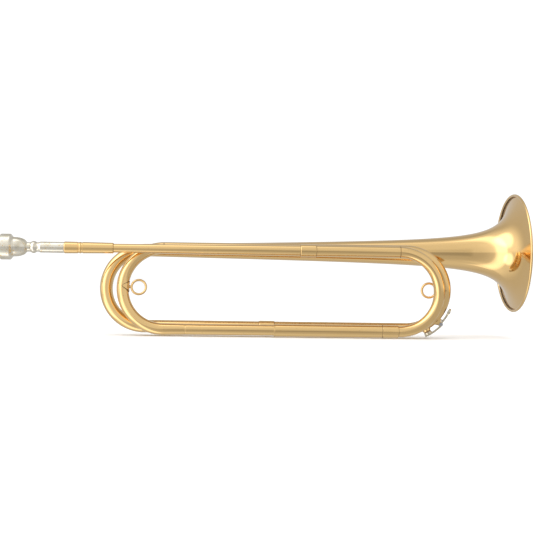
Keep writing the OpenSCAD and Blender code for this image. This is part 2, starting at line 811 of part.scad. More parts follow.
// Moves to a place around the rear right bow: local X points straight out from the
// bow's centre at the given angle below the horizontal, local Z along the bow.
module around(angle) {
    on_rear_right() rotate([0, angle, 0]) children();
}

// Local Z points out of the bow, from its outer face, at the spout.
module at_spout() {
    around(key_spout_at) translate([bow_face, 0, 0]) rotate([0, 90, 0]) children();
}

// Local Z runs along the pivot, away from the slide's side.
module at_pivot() {
    around(key_pivot_at) translate([pivot_radius, 0, 0]) rotate([-90, 0, 0]) children();
}

module water_key_spout() {
    sink = 2.4;
    lip = 0.5;
    flange_r = key_spout_d / 2;
    color(BRASS) difference() {
        at_spout() rotate_extrude() polygon([[key_bore_d / 2, -sink], [flange_r, -sink],
            [flange_r, key_spout_h - lip], [flange_r - lip, key_spout_h],
            [key_bore_d / 2, key_spout_h]]);
        on_rear_right() half_ring(rear_right_radius, rear_right_r);
    }
}

module water_key_saddle() {
    base_len = 8.4;
    sink = 4;
    color(BRASS) difference() {
        around(key_pivot_at) {
            translate([bow_face - sink, -saddle_w / 2, -base_len / 2])
                cube([sink + foot_t, saddle_w, base_len]);
            for (side = [-1, 1]) translate([0, side * (ear_inside + ear_t) / 2, 0]) {
                translate([bow_face - sink, -ear_t / 2, -ear_r])
                    cube([sink + key_pivot_h, ear_t, 2 * ear_r]);
                translate([pivot_radius, 0, 0]) rotate([90, 0, 0])
                    cylinder(h = ear_t, r = ear_r, center = true);
            }
        }
        on_rear_right() half_ring(rear_right_radius, rear_right_r);
        at_pivot() cylinder(h = 2 * saddle_w, d = screw_d, center = true);
    }
}

module water_key_screw() {
    half = saddle_w / 2;
    head_h = 1;
    slot_w = 0.5;
    color(STEEL) at_pivot() difference() {
        union() {
            translate([0, 0, -half]) cylinder(h = 2 * half, d = screw_d);
            translate([0, 0, -half - head_h]) cylinder(h = head_h, d = 2 * screw_d);
        }
        translate([-screw_d * 1.5, -slot_w / 2, -half - head_h - eps])
            cube([screw_d * 3, slot_w, slot_w + eps]);
    }
}

// A strip bent round the bow's centre between two angles, at a height above the bow.
module bent_strip(from, to, h) {
    on_rear_right() rotate([0, from, 0]) rotate([90, 0, 0]) rotate_extrude(angle = from - to, $fn = 360)
        translate([bow_face + h, -lever_w / 2]) square([lever_t, lever_w]);
}

// Moves along the pivot to the middle of the hub, which leaves room for the spring.
module at_hub() {
    at_pivot() translate([0, 0, -spring_room / 2]) children();
}

module water_key_lever() {
    tail = 4.5;
    color(NICKEL) difference() {
        union() {
            bent_strip(key_spout_at + tail, key_pivot_at, cork_arm_h);
            bent_strip(key_pivot_at, key_touch_at, key_arm_h);
            around(key_touch_at) translate([bow_face + key_arm_h, 0, 0]) rotate([0, 90, 0])
                cylinder(h = lever_t, d = touch_d);
            at_hub() cylinder(h = hub_w, d = hub_d, center = true);
        }
        at_hub() cylinder(h = 2 * hub_w, d = screw_d + 2 * screw_gap, center = true);
    }
}

module water_key_cork_cap() {
    color(SILVER) at_spout() difference() {
        translate([0, 0, cap_low_h]) cylinder(h = cap_top_h - cap_low_h, d = cap_d);
        translate([0, 0, cap_low_h - eps]) cylinder(h = cork_seat + eps, d = cork_d);
    }
}

module water_key_cork() {
    color(CORK) at_spout() translate([0, 0, key_spout_h]) cylinder(h = cork_t, d = cork_d);
}

// A straight piece of the spring's wire between two points.
module wire_run(a, b, d) {
    run = b - a;
    translate(a) rotate([0, acos(run[2] / norm(run)), atan2(run[1], run[0])])
        cylinder(h = norm(run), d = d, $fn = 32);
}

// Two closed coils beside the hub, a foot on the saddle's base and a hook under the
// thumb arm. The legs are a little thinner where they run into the coils and each other.
module water_key_spring() {
    wire_r = spring_wire_d / 2;
    coil_room = 0.7;
    rest_gap = 0.1;
    thin_d = 0.9 * spring_wire_d;
    coil_r = screw_d / 2 + coil_room;
    side = (ear_inside - spring_room) / 2;
    foot_x = bow_face + foot_t + wire_r + rest_gap;
    foot_z = -3.8;
    hook_z = 5;
    hook_x = sqrt(pow(bow_face + key_arm_h, 2) - hook_z * hook_z) - wire_r - rest_gap;
    color(STEEL) around(key_pivot_at) {
        translate([pivot_radius, side, 0]) rotate([90, 0, 0]) rotate_extrude()
            translate([coil_r, 0]) {
                for (k = [-1, 1]) translate([0, k * wire_r]) circle(wire_r, $fn = 32);
                square([2 * wire_r, 2 * wire_r], center = true);
            }
        wire_run([pivot_radius, side - wire_r, -coil_r], [foot_x, side - wire_r, foot_z], thin_d);
        wire_run([pivot_radius, side, coil_r], [hook_x, side, hook_z], thin_d);
        wire_run([hook_x, side + wire_r, hook_z - rest_gap], [hook_x, 0, hook_z - rest_gap],
            spring_wire_d);
    }
}

mouthpiece();
mouthpiece_receiver();
leadpipe();
leadpipe_ferrule();
upper_slide_sleeve();
slide_upper_leg();
slide_bow();
slide_ferrule();
slide_lower_sleeve();
first_return_tube();
front_left_bow();
middle_tube();
rear_right_bow();
second_return_tube();
return_ferrule();
rear_left_bow();
bell_tail();
bell_flare();
bell_rim_wire();
leadpipe_stay();
slide_sleeve_stay();
bell_stay();
return_stay();
left_ring_foot();
left_strap_ring();
right_ring_foot();
right_strap_ring();
water_key_spout();
water_key_saddle();
water_key_screw();
water_key_lever();
water_key_cork_cap();
water_key_cork();
water_key_spring();
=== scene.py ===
import math
import bmesh
import bpy
from mathutils import Matrix, Vector


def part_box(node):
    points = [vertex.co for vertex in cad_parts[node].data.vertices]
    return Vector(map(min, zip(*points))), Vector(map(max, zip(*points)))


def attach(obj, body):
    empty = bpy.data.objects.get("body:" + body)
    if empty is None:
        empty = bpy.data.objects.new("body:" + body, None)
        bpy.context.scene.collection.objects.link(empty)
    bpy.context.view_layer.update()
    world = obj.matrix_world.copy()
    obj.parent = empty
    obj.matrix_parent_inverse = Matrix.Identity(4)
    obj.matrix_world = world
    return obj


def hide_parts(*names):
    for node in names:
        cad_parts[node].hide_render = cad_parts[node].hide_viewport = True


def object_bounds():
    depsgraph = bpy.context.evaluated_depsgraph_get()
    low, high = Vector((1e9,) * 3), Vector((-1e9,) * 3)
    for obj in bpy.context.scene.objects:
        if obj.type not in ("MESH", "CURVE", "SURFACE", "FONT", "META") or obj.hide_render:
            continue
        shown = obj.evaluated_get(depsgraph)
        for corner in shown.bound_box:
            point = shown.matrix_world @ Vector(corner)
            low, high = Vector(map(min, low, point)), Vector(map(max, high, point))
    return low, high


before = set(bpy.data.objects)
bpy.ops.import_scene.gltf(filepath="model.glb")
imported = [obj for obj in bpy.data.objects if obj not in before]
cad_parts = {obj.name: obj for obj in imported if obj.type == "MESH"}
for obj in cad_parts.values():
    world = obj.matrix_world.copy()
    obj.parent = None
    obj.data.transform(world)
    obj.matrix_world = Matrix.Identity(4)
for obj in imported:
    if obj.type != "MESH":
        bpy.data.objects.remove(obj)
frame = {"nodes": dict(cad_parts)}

cad_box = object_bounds()
scene = bpy.context.scene

# ------------------------------------------------------------------ camera, light and floor
# The horn is seen square from its slide side, level, from a little over a metre away.
# A white studio lights it: bright overhead, greyer in front, with two soft lamps at the
# left. It stands on a sheet of white paper.
MM = 0.001
camera_data = bpy.data.cameras.new("camera")
camera = bpy.data.objects.new("camera", camera_data)
scene.collection.objects.link(camera)
scene.camera = camera
camera_data.lens = 74.7
camera_data.sensor_width = 36.0
camera_data.clip_start = 0.01
camera_data.clip_end = 50.0
camera_place = Vector((163.1, -1150.0, -16.85)) * MM
camera_yaw = 0.040
camera_roll = 0.0138
camera.matrix_world = (
    Matrix.Translation(camera_place)
    @ Matrix.Rotation(-camera_yaw, 4, "Z")
    @ Matrix.Rotation(math.pi / 2, 4, "X")
    @ Matrix.Rotation(camera_roll, 4, "Z")
)
scene.view_settings.view_transform = "Standard"


class Wire:
    """An output socket. Arithmetic on it adds Math nodes to the same tree."""

    def __init__(self, owner, socket):
        self.owner, self.socket = owner, socket

    def math(self, operation, *values):
        return self.owner.node("ShaderNodeMath", {"operation": operation}, dict(enumerate(values)))

    def __add__(self, other):
        return self.math("ADD", self, other)

    def __radd__(self, other):
        return self.math("ADD", other, self)

    def __sub__(self, other):
        return self.math("SUBTRACT", self, other)

    def __rsub__(self, other):
        return self.math("SUBTRACT", other, self)

    def __mul__(self, other):
        return self.math("MULTIPLY", self, other)

    def __rmul__(self, other):
        return self.math("MULTIPLY", other, self)

    def ramp(self, low, high):
        """0 below low, 1 above high, smooth between."""
        return self.owner.node(
            "ShaderNodeMapRange",
            {"interpolation_type": "SMOOTHSTEP"},
            {"Value": self, "From Min": low, "From Max": high},
        )

    def other(self, name):
        """Another output of the node that this one comes from."""
        return Wire(self.owner, self.socket.node.outputs[name])


class Nodes:
    """A shader tree and the one way that nodes are added to it."""

    def __init__(self, tree):
        self.tree = tree

    def node(self, kind, settings=None, inputs=None, output=0):
        made = self.tree.nodes.new(kind)
        for name, value in (settings or {}).items():
            setattr(made, name, value)
        for socket, value in (inputs or {}).items():
            if isinstance(value, Wire):
                self.tree.links.new(value.socket, made.inputs[socket])
            else:
                made.inputs[socket].default_value = value
        return None if output is None else Wire(self, made.outputs[output])


class Finish(Nodes):
    """A material and its shader."""

    def __init__(self, name, **constants):
        self.material = bpy.data.materials.new(name)
        self.material.use_nodes = True
        super().__init__(self.material.node_tree)
        self.shader = self.tree.nodes["Principled BSDF"]
        for socket, value in constants.items():
            self.shader.inputs[socket.replace("_", " ")].default_value = value

    def place(self, stretch=(1.0, 1.0, 1.0)):
        """Object coordinates, stretched."""
        where = self.node("ShaderNodeTexCoord", output="Object")
        return self.node("ShaderNodeMapping", {}, {"Vector": where, "Scale": stretch})

    def noise(self, size, detail=2.0, stretch=(1.0, 1.0, 1.0), roughness=0.5):
        """Cloudy noise whose features are about size metres across."""
        return self.node(
            "ShaderNodeTexNoise",
            {},
            {"Vector": self.place(stretch), "Scale": 1 / size, "Detail": detail, "Roughness": roughness},
        )

    def blend(self, share, first, second):
        """A colour between two others."""
        return self.node(
            "ShaderNodeMix", {"data_type": "RGBA"}, {0: share, 6: first, 7: second}, output=2
        )

    def bump(self, height, strength, distance, under=None):
        inputs = {"Height": height, "Strength": strength, "Distance": distance}
        if under is not None:
            inputs["Normal"] = under
        return self.node("ShaderNodeBump", {}, inputs)

    def feed(self, **links):
        for socket, wire in links.items():
            self.tree.links.new(wire.socket, self.shader.inputs[socket.replace("_", " ")])


world = bpy.data.worlds.new("white_studio")
world.use_nodes = True
world.node_tree.nodes.clear()
scene.world = world
room = Nodes(world.node_tree)
heading = room.node("ShaderNodeTexCoord", output="Generated")
east = room.node("ShaderNodeSeparateXYZ", {}, {"Vector": heading}, output="X")
north, up = east.other("Y"), east.other("Z")
behind = north.ramp(-0.1, 0.5)
under = (1 - up.ramp(-0.04, 0.1)) * (1 - 0.6 * (-1 * up).ramp(0.7, 0.95)) * (1 - behind)
aside = room.node("ShaderNodeMath", {"operation": "ABSOLUTE"}, {0: east - 0.06})
low_front = (1 - behind) * (1 - up.ramp(0.25, 0.5)) * (1 - (-1 * up).ramp(0.2, 0.5))
doorway = (1 - aside.ramp(0.07, 0.11)) * low_front
level = 0.9 - 0.27 * behind - 0.3 * under - 0.1 * up.ramp(0.6, 0.9) - 0.16 * doorway


def lamp(azimuth, elevation, wide, tall, soft):
    """An oval lamp, so many degrees left of the camera's side and up; half sizes in degrees."""
    a, e = math.radians(azimuth), math.radians(elevation)
    ahead = Vector((-math.sin(a) * math.cos(e), -math.cos(a) * math.cos(e), math.sin(e)))
    side = Vector((math.cos(a), -math.sin(a), 0.0))
    facing, across, along = (
        room.node(
            "ShaderNodeVectorMath", {"operation": "DOT_PRODUCT"}, {0: heading, 1: way}, output="Value"
        )
        for way in (ahead, side / math.sin(math.radians(wide)), side.cross(ahead) / math.sin(math.radians(tall)))
    )
    return (1 - (across * across + along * along).ramp(1.0, (1 + soft) ** 2)) * facing.ramp(0.0, 0.1)


lamps = (
    0.9 * lamp(42, 4, 8, 44, 1.2) + 1.2 * lamp(64, 40, 12, 14, 1.2) + 1.1 * lamp(62, -16, 8, 9, 1.2)
    + 0.35 * lamp(60, 12, 22, 42, 1.2)
)
studio = room.node("ShaderNodeBackground", {}, {"Color": level + lamps})
paper_white = room.node("ShaderNodeBackground", {}, {"Strength": 1.12, "Color": (1, 1, 1, 1)})
mirrored = room.node("ShaderNodeLightPath", output="Is Glossy Ray")
both = room.node("ShaderNodeMixShader", {}, {0: mirrored, 1: paper_white, 2: studio})
room.node("ShaderNodeOutputWorld", {}, {"Surface": both}, output=None)

middle = (cad_box[0] + cad_box[1]) / 2
overhead_data = bpy.data.lights.new("overhead", "AREA")
overhead_data.shape = "DISK"
overhead_data.size = 1.6
overhead_data.energy = 9.0
overhead = bpy.data.objects.new("overhead", overhead_data)
overhead.location = (middle.x, middle.y, 1.2)
overhead.visible_glossy = False
scene.collection.objects.link(overhead)

floor_mesh = bmesh.new()
bmesh.ops.create_circle(
    floor_mesh, cap_ends=True, segments=96, radius=6.0,
    matrix=Matrix.Translation((middle.x, middle.y, cad_box[0].z - 0.0005)),
)
floor_data = bpy.data.meshes.new("floor")
floor_mesh.to_mesh(floor_data)
floor = bpy.data.objects.new("floor", floor_data)
floor.visible_glossy = False
scene.collection.objects.link(floor)
paper = Finish("floor_paper", Roughness=0.9)
paper.feed(Base_Color=paper.blend(paper.noise(0.004, 4.0), (0.9, 0.9, 0.9, 1), (0.93, 0.93, 0.93, 1)))
floor_data.materials.append(paper.material)


# ------------------------------------------------------------------ mouthpiece
# Turned from brass and silver plated; the plate is worn through to brass in specks at the
# rim's edges. Its tapered shank pushes into the receiver.
def on_axis(y, z, x=0.0, turn=Matrix.Identity(4)):
    """The frame whose Z runs along the horn's X, at a tube's axis, in millimetres."""
    return Matrix.Translation((x, y, z)) @ turn @ Matrix.Rotation(math.pi / 2, 4, "Y")


def turned(profile, frame_at, steps=96):
    """A bmesh turned from a closed outline of [radius, distance] in millimetres about a frame's Z."""
    shape = bmesh.new()
    points = []
    for (r, x), (next_r, next_x) in zip(profile, profile[1:] + profile[:1]):
        points.append(shape.verts.new((r, 0.0, x)))
        length = math.hypot(next_r - r, next_x - x)
        for share in (0.4 / length, 1 - 0.4 / length) if length > 2.5 else ():
            points.append(shape.verts.new((r + share * (next_r - r), 0.0, x + share * (next_x - x))))
    edges = [shape.edges.new(pair) for pair in zip(points, points[1:] + points[:1])]
    bmesh.ops.spin(
        shape, geom=points + edges, cent=(0, 0, 0), axis=(0, 0, 1),
        angle=2 * math.pi, steps=steps, use_merge=True,
    )
    bmesh.ops.remove_doubles(shape, verts=shape.verts, dist=0.001)
    bmesh.ops.transform(shape, matrix=frame_at, verts=shape.verts)
    bmesh.ops.recalc_face_normals(shape, faces=shape.faces)
    return shape


def piece(name, shape, finish, body, node=None, crease=32.0, stands_for=()):
    """Makes a bmesh in millimetres a piece of the horn, smooth but for its sharp edges."""
    bmesh.ops.scale(shape, vec=(MM, MM, MM), verts=shape.verts)
    for face in shape.faces:
        face.smooth = True
    for edge in shape.edges:
        if len(edge.link_faces) == 2 and edge.calc_face_angle(0.0) > math.radians(crease):
            edge.smooth = False
    data = bpy.data.meshes.new(name)
    shape.to_mesh(data)
    shape.free()
    made = bpy.data.objects.new(name, data)
    scene.collection.objects.link(made)
    data.materials.append(finish.material)
    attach(made, body)
    nodes = [n for n in (node, *stands_for) if n]
    if nodes:
        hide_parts(*nodes)
    return made


def arc(centre_r, centre_x, radius_r, radius_x, start, end, count):
    """Points on an ellipse, as [radius, distance], from one angle to another in degrees."""
    steps = [math.radians(start + (end - start) * i / count) for i in range(count + 1)]
    return [(centre_r + radius_r * math.cos(a), centre_x + radius_x * math.sin(a)) for a in steps]


silver = Finish("mouthpiece_silver", Metallic=1.0)
tarnish = silver.noise(0.008, 3.0).ramp(0.4, 0.7)
plate = silver.blend(tarnish, (0.8, 0.755, 0.65, 1), (0.7, 0.64, 0.5, 1))
polish = silver.noise(0.0012, 2.0, (0.15, 1.0, 1.0))
worn = silver.noise(0.0015, 3.0).ramp(0.63, 0.66)
silver.feed(
    Base_Color=silver.blend(worn, plate, (0.72, 0.46, 0.17, 1)),
    Roughness=0.15 + 0.08 * tarnish + 0.04 * polish,
    Normal=silver.bump(polish, 0.05, 0.00001),
)

mouth_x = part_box("mouthpiece")[0].x / MM
mouth_len = (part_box("mouthpiece")[1].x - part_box("mouthpiece")[0].x) / MM
rim_r = (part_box("mouthpiece")[1].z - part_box("mouthpiece")[0].z) / 2 / MM
bowl_r, waist_r, bead_r, stem_r, shank_r = 10.1, 4.9, 6.35, 5.7, 5.6
rim_len, rim_round, waist_at, seated = 11.6, 2.2, 28.6, 22.0
bead_at, bead_half = 34.6, 3.4
outside = (
    arc(rim_r - rim_round, rim_round, rim_round, rim_round, -90, 0, 12)
    + [(rim_r, rim_len - 0.9), (rim_r - 0.15, rim_len - 0.35), (rim_r - 0.6, rim_len)]
    + [(bowl_r + 1.1, rim_len + 1.2), (bowl_r + 0.55, rim_len + 1.55), (bowl_r + 0.3, rim_len + 2.0)]
    + arc(waist_r, rim_len + 3, bowl_r - waist_r, waist_at - rim_len - 4.4, 0, 82, 24)
    + [(waist_r, waist_at - 0.4), (waist_r, waist_at + 0.8)]
    + [
        (waist_r + (bead_r - waist_r) * math.sin(math.pi * t / 24), bead_at + bead_half * (t / 12 - 1))
        for t in range(25)
    ]
    + [(waist_r, 39.2), (waist_r + 0.25, 40.2), (stem_r - 0.2, 41.1), (stem_r, 41.5)]
    + [(stem_r, mouth_len - seated - 0.9), (shank_r, mouth_len - seated - 0.3)]
    + [(shank_r - 0.55, mouth_len)]
)
cup_r, throat_r, cup_depth, exit_r = 8.3, 1.9, 13.0, 3.9
inside = (
    [(exit_r, mouth_len), (throat_r, cup_depth + 6)]
    + [
        (
            throat_r + (cup_r - throat_r) * math.cos(math.pi / 2 * i / 24),
            rim_round + 0.4 + (cup_depth - rim_round - 0.4) * math.sin(math.pi / 2 * i / 24),
        )
        for i in range(24, 0, -1)
    ]
    + arc(cup_r + rim_round, rim_round, rim_round, rim_round, 180, 262, 10)
)
piece(
    "silver_mouthpiece", turned(outside + inside, on_axis(0, 0, mouth_x), 128),
    silver, "mouthpiece", "mouthpiece",
)

# ------------------------------------------------------------------ brass finish
# Every tube is drawn or bent brass, buffed along its length and sprayed with clear gold
# lacquer, which has small runs, specks and finger marks but a mirror shine.
def lacquered(name, light, deep, shine=0.07):
    """Buffed brass under clear lacquer."""
    brass = Finish(name, Metallic=1.0, Coat_Roughness=0.03, Coat_IOR=1.5)
    cloud = brass.noise(0.035, 3.0)
    buff = brass.noise(0.0007, 2.0, (0.03, 1.0, 1.0))
    smear = brass.noise(0.012, 4.0).ramp(0.48, 0.72)
    speck = brass.noise(0.0011, 1.0).ramp(0.775, 0.8)
    skin = brass.noise(0.0022, 1.0)
    tone = brass.blend(cloud, light, deep)
    brass.feed(
        Base_Color=brass.blend(speck, tone, (0.3, 0.17, 0.06, 1)),
        Roughness=shine + 0.05 * smear + 0.02 * buff + 0.2 * speck,
        Coat_Weight=0.5 - 0.15 * smear,
        Normal=brass.bump(buff, 0.03, 0.00001, brass.bump(skin, 0.05, 0.00003)),
    )
    return brass


gold = lacquered("gold_lacquer", (0.82, 0.56, 0.245, 1), (0.78, 0.52, 0.215, 1))

# ------------------------------------------------------------------ receiver
# A turned brass socket, silver-soldered over the leadpipe's end. Two square grooves leave
# a bright ridge between them.
def middle_of(node):
    """The y and z of a straight tube's axis, in millimetres."""
    low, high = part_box(node)
    return (low.y + high.y) / 2 / MM, (low.z + high.z) / 2 / MM


def span_of(node):
    """Where a node starts and ends along X, in millimetres."""
    low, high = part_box(node)
    return low.x / MM, high.x / MM


receiver_start, receiver_end = span_of("mouthpiece_receiver")
receiver_r, receiver_tail_r, socket_r, socket_end = 6.2, 5.55, 5.63, 24.0
lead_r0, lead_r1, wall = 4.55, 5.6, 0.6


def receiver_outer(x):
    return receiver_r + (receiver_tail_r - receiver_r) * x / receiver_end


ridge_at, groove = 16.4, 0.4
receiver_profile = [
    (receiver_r - 0.55, 0.0), (receiver_r - 0.2, 0.1), (receiver_r - 0.05, 0.35), (receiver_r, 0.7),
    (receiver_outer(13.7), 13.7), (receiver_outer(13.9) - 0.1, 13.85),
    (receiver_outer(14.0) - groove, 14.0), (receiver_outer(15.5) - groove, 15.5),
    (receiver_outer(15.6) - 0.12, 15.65), (receiver_outer(15.9), 15.95),
    (receiver_outer(16.9), 16.9), (receiver_outer(17.1) - 0.12, 17.15),
    (receiver_outer(17.3) - groove, 17.3), (receiver_outer(18.8) - groove, 18.8),
    (receiver_outer(18.9) - 0.1, 18.95), (receiver_outer(19.1), 19.1),
    (receiver_tail_r, receiver_end - 0.7), (receiver_tail_r - 0.1, receiver_end - 0.3),
    (receiver_tail_r - 0.45, receiver_end), (lead_r0 + 0.02, receiver_end),
    (lead_r0 + 0.02, socket_end), (socket_r - 0.6, socket_end), (socket_r, 0.3), (socket_r + 0.2, 0.0),
]
piece(
    "receiver", turned(receiver_profile, on_axis(0, 0), 112), gold, "horn", "mouthpiece_receiver"
)

# ------------------------------------------------------------------ leadpipe and sleeves
# Thin tube, drawn with a slow taper, then the slide's two sleeves in line with it. The
# slide's inner leg is bare, greased nickel brass.
def tube_profile(x0, x1, r0, r1, thick=wall, edge=0.18):
    """A hollow tube's outline with rounded outer ends."""
    return [
        (r0 - edge, x0), (r0 - 0.3 * edge, x0 + 0.3 * edge), (r0, x0 + edge),
        (r1, x1 - edge), (r1 - 0.3 * edge, x1 - 0.3 * edge), (r1 - edge, x1),
        (r1 - thick, x1), (r0 - thick, x0),
    ]


lead_start, lead_end = span_of("leadpipe")
ferrule_start, ferrule_end = span_of("leadpipe_ferrule")
lead_profile = [
    (lead_r0, lead_start), (lead_r0, receiver_end), (lead_r1, ferrule_start), (lead_r1, lead_end),
    (lead_r1 - wall, lead_end), (lead_r1 - wall, ferrule_start), (lead_r0 - wall, receiver_end),
    (lead_r0 - wall, lead_start),
]
piece("leadpipe_tube", turned(lead_profile, on_axis(0, 0)), gold, "horn", "leadpipe")

sleeve_start, sleeve_end = span_of("upper_slide_sleeve")
sleeve_r = 5.9
piece(
    "upper_sleeve_tube", turned(tube_profile(sleeve_start, sleeve_end, sleeve_r, sleeve_r, 0.5), on_axis(0, 0)),
    gold, "horn", "upper_slide_sleeve",
)

bare = Finish("slide_leg_metal", Metallic=1.0, Roughness=0.2)
drawn = bare.noise(0.0006, 2.0, (0.02, 1.0, 1.0))
grease = bare.noise(0.009, 3.0).ramp(0.45, 0.65)
bare.feed(
    Base_Color=bare.blend(grease, (0.72, 0.62, 0.42, 1), (0.6, 0.47, 0.27, 1)),
    Roughness=0.16 + 0.12 * drawn + 0.1 * grease,
    Normal=bare.bump(drawn, 0.1, 0.00002),
)
leg_start, leg_end = span_of("slide_upper_leg")
piece(
    "slide_leg_tube", turned(tube_profile(leg_start, leg_end, 5.35, 5.35, 0.5), on_axis(0, 0)),
    bare, "tuning_slide", "slide_upper_leg",
)

return_yz = middle_of("first_return_tube")
lower_start, lower_end = span_of("slide_lower_sleeve")
lower_bore_r, lower_r = 5.75, 6.55
slide_ferrule_start, slide_ferrule_end = span_of("slide_ferrule")
lower_profile = [
    (lower_bore_r + 0.2, lower_start), (lower_r - 0.1, lower_start), (lower_r + 0.12, lower_start + 0.25),
    (lower_r + 0.12, lower_start + 0.95), (lower_r, lower_start + 1.2), (lower_r, slide_ferrule_start),
    (lower_r - 0.4, slide_ferrule_start), (lower_r - 0.4, lower_end), (lower_bore_r, lower_end),
    (lower_bore_r, lower_start + 0.2),
]
piece(
    "lower_sleeve_tube", turned(lower_profile, on_axis(*return_yz)),
    gold, "tuning_slide", "slide_lower_sleeve",
)

# ------------------------------------------------------------------ ferrules
# Short turned rings that cover the joints between tubes. Each has softened ends and is
# soldered on, which leaves a fine dark line at its ends.
def ferrule_profile(x0, x1, r, bore0, bore1, joint):
    """A ring with rounded ends over two tube sizes that meet at a joint."""
    return (
        [(bore0, x0), (r - 0.55, x0), (r - 0.2, x0 + 0.12), (r - 0.05, x0 + 0.35), (r, x0 + 0.65)]
        + [(r, x1 - 0.65), (r - 0.05, x1 - 0.35), (r - 0.2, x1 - 0.12), (r - 0.55, x1)]
        + [(bore1, x1), (bore1, joint), (bore0, joint)]
    )


piece(
    "leadpipe_joint_ferrule",
    turned(ferrule_profile(ferrule_start, ferrule_end, 6.6, lead_r1, sleeve_r, lead_end), on_axis(0, 0)),
    gold, "horn", "leadpipe_ferrule",
)
piece(
    "slide_joint_ferrule",
    turned(
        ferrule_profile(slide_ferrule_start, slide_ferrule_end, 6.65, 6.15, sleeve_r, lower_end),
        on_axis(*return_yz),
    ),
    gold, "tuning_slide", "slide_ferrule",
)
second_yz = middle_of("second_return_tube")
back_ferrule_start, back_ferrule_end = span_of("return_ferrule")
piece(
    "return_joint_ferrule",
    turned(
        ferrule_profile(back_ferrule_start, back_ferrule_end, 7.15, 6.45, 6.45, back_ferrule_start + 8),
        on_axis(*second_yz),
    ),
    gold, "horn", "return_ferrule",
)

# ------------------------------------------------------------------ joint lines
# Solder and old polish leave a fine dark line where one piece of brass ends on another.
soot = Finish("joint_line_brown", Metallic=0.5, Roughness=0.5)
crust = soot.noise(0.0008, 2.0)
soot.feed(
    Base_Color=soot.blend(crust, (0.2, 0.11, 0.035, 1), (0.1, 0.055, 0.02, 1)),
    Normal=soot.bump(crust, 0.2, 0.00005),
)


def joint_line(name, x, r, yz, body, half=0.3):
    """A thin dark ring on a tube of radius r."""
    outline = [(r - 0.15, x - half), (r + 0.08, x - half), (r + 0.08, x + half), (r - 0.15, x + half)]
    piece(name, turned(outline, on_axis(*yz)), soot, body)


joint_line("receiver_joint", receiver_end, lead_r0, (0, 0), "horn")
joint_line("leadpipe_joint_1", ferrule_start, lead_r1, (0, 0), "horn")
joint_line("leadpipe_joint_2", ferrule_end, sleeve_r, (0, 0), "horn")
joint_line("sleeve_mouth", sleeve_end - 0.1, sleeve_r - 0.05, (0, 0), "horn")
joint_line("slide_joint_1", slide_ferrule_start, lower_r, return_yz, "tuning_slide")
joint_line("slide_joint_2", slide_ferrule_end, sleeve_r, return_yz, "tuning_slide")
joint_line("return_joint_1", back_ferrule_start, 6.45, second_yz, "horn")
joint_line("return_joint_2", back_ferrule_end, 6.45, second_yz, "horn")

# ------------------------------------------------------------------ straight tubes of the coil
# The first return tube runs inside the slide's lower sleeve; the middle tube grows slowly
# from the left bow to the right one.
middle_yz = middle_of("middle_tube")
first_start, first_end = span_of("first_return_tube")
piece(
    "first_return", turned(tube_profile(first_start, first_end, 5.7, 5.7), on_axis(*return_yz)),
    gold, "horn", "first_return_tube",
)
middle_start = span_of("middle_tube")[0]
middle_end = span_of("rear_right_bow")[0]
rear_upper_joint = 338.0
piece(
    "middle_run", turned(tube_profile(middle_start, rear_upper_joint, 6.2, 6.4), on_axis(*middle_yz)),
    gold, "horn", "middle_tube",
)
second_start = span_of("second_return_tube")[0]
rear_lower_joint = span_of("rear_right_bow")[0]
piece(
    "second_return", turned(tube_profile(second_start, rear_lower_joint, 6.45, 6.45), on_axis(*second_yz)),
    gold, "horn", "second_return_tube",
)


# ------------------------------------------------------------------ bows
# Each bow is one length of tube bent through half a turn on a mandrel, with straight legs
# that grow or shrink to meet the next tube. They are bent true and buffed bright.
def bow(low_yz, high_yz, bend_x, side, radius, low_leg, high_leg, segments=72, bend_steps=96):
    """A bent tube's outer skin. A leg is a list of [x, radius] from its far end."""
    low, high = Vector((0.0, *low_yz)), Vector((0.0, *high_yz))
    up = (high - low).normalized()
    along = Vector((side, 0.0, 0.0))
    centre = (low + high) / 2 + Vector((bend_x, 0.0, 0.0))
    bend_r = (high - low).length / 2
    across = along.cross(up)
    stations = [(Vector((x, 0, 0)) + low, along, r) for x, r in low_leg]
    for i in range(bend_steps + 1):
        a = math.pi * (i / bend_steps - 0.5)
        ahead = up * math.cos(a) - along * math.sin(a)
        stations.append((centre + bend_r * (along * math.cos(a) + up * math.sin(a)), ahead, radius))
    stations += [(Vector((x, 0, 0)) + high, -along, r) for x, r in reversed(high_leg)]
    frames = []
    for point, ahead, r in stations:
        third = ahead.cross(across)
        turn = Matrix((across, third, ahead)).transposed().to_4x4()
        frames.append(Matrix.Translation(point) @ turn @ Matrix.Diagonal((r, r, r, 1)))
    shape = bmesh.new()
    bmesh.ops.create_circle(shape, cap_ends=False, segments=segments, radius=1.0, matrix=frames[0])
    ring = list(shape.edges)
    for before, after in zip(frames, frames[1:]):
        grown = bmesh.ops.extrude_edge_only(shape, edges=ring)["geom"]
        verts = [g for g in grown if isinstance(g, bmesh.types.BMVert)]
        ring = [
            g for g in grown
            if isinstance(g, bmesh.types.BMEdge) and all(v in verts for v in g.verts)
        ]
        bmesh.ops.transform(shape, matrix=after @ before.inverted(), verts=verts)
    bmesh.ops.recalc_face_normals(shape, faces=shape.faces)
    return shape


def hollow(made, thick=wall):
    """Gives a bow's skin its wall, on the inside."""
    solid = made.modifiers.new("wall", "SOLIDIFY")
    solid.thickness = thick * MM
    solid.offset = -1.0
    solid.use_even_offset = True
    return made


def leg(far_x, near_x, far_r, near_r, edge=0.18):
    """A straight leg from its far end to the bend, its end's edge rounded."""
    way = 1 if near_x > far_x else -1
    return [
        (far_x, far_r - edge), (far_x + way * 0.3 * edge, far_r - 0.3 * edge),
        (far_x + way * edge, far_r), (far_x + way * (edge + 0.4), far_r), (near_x - way * 0.01, near_r),
    ]


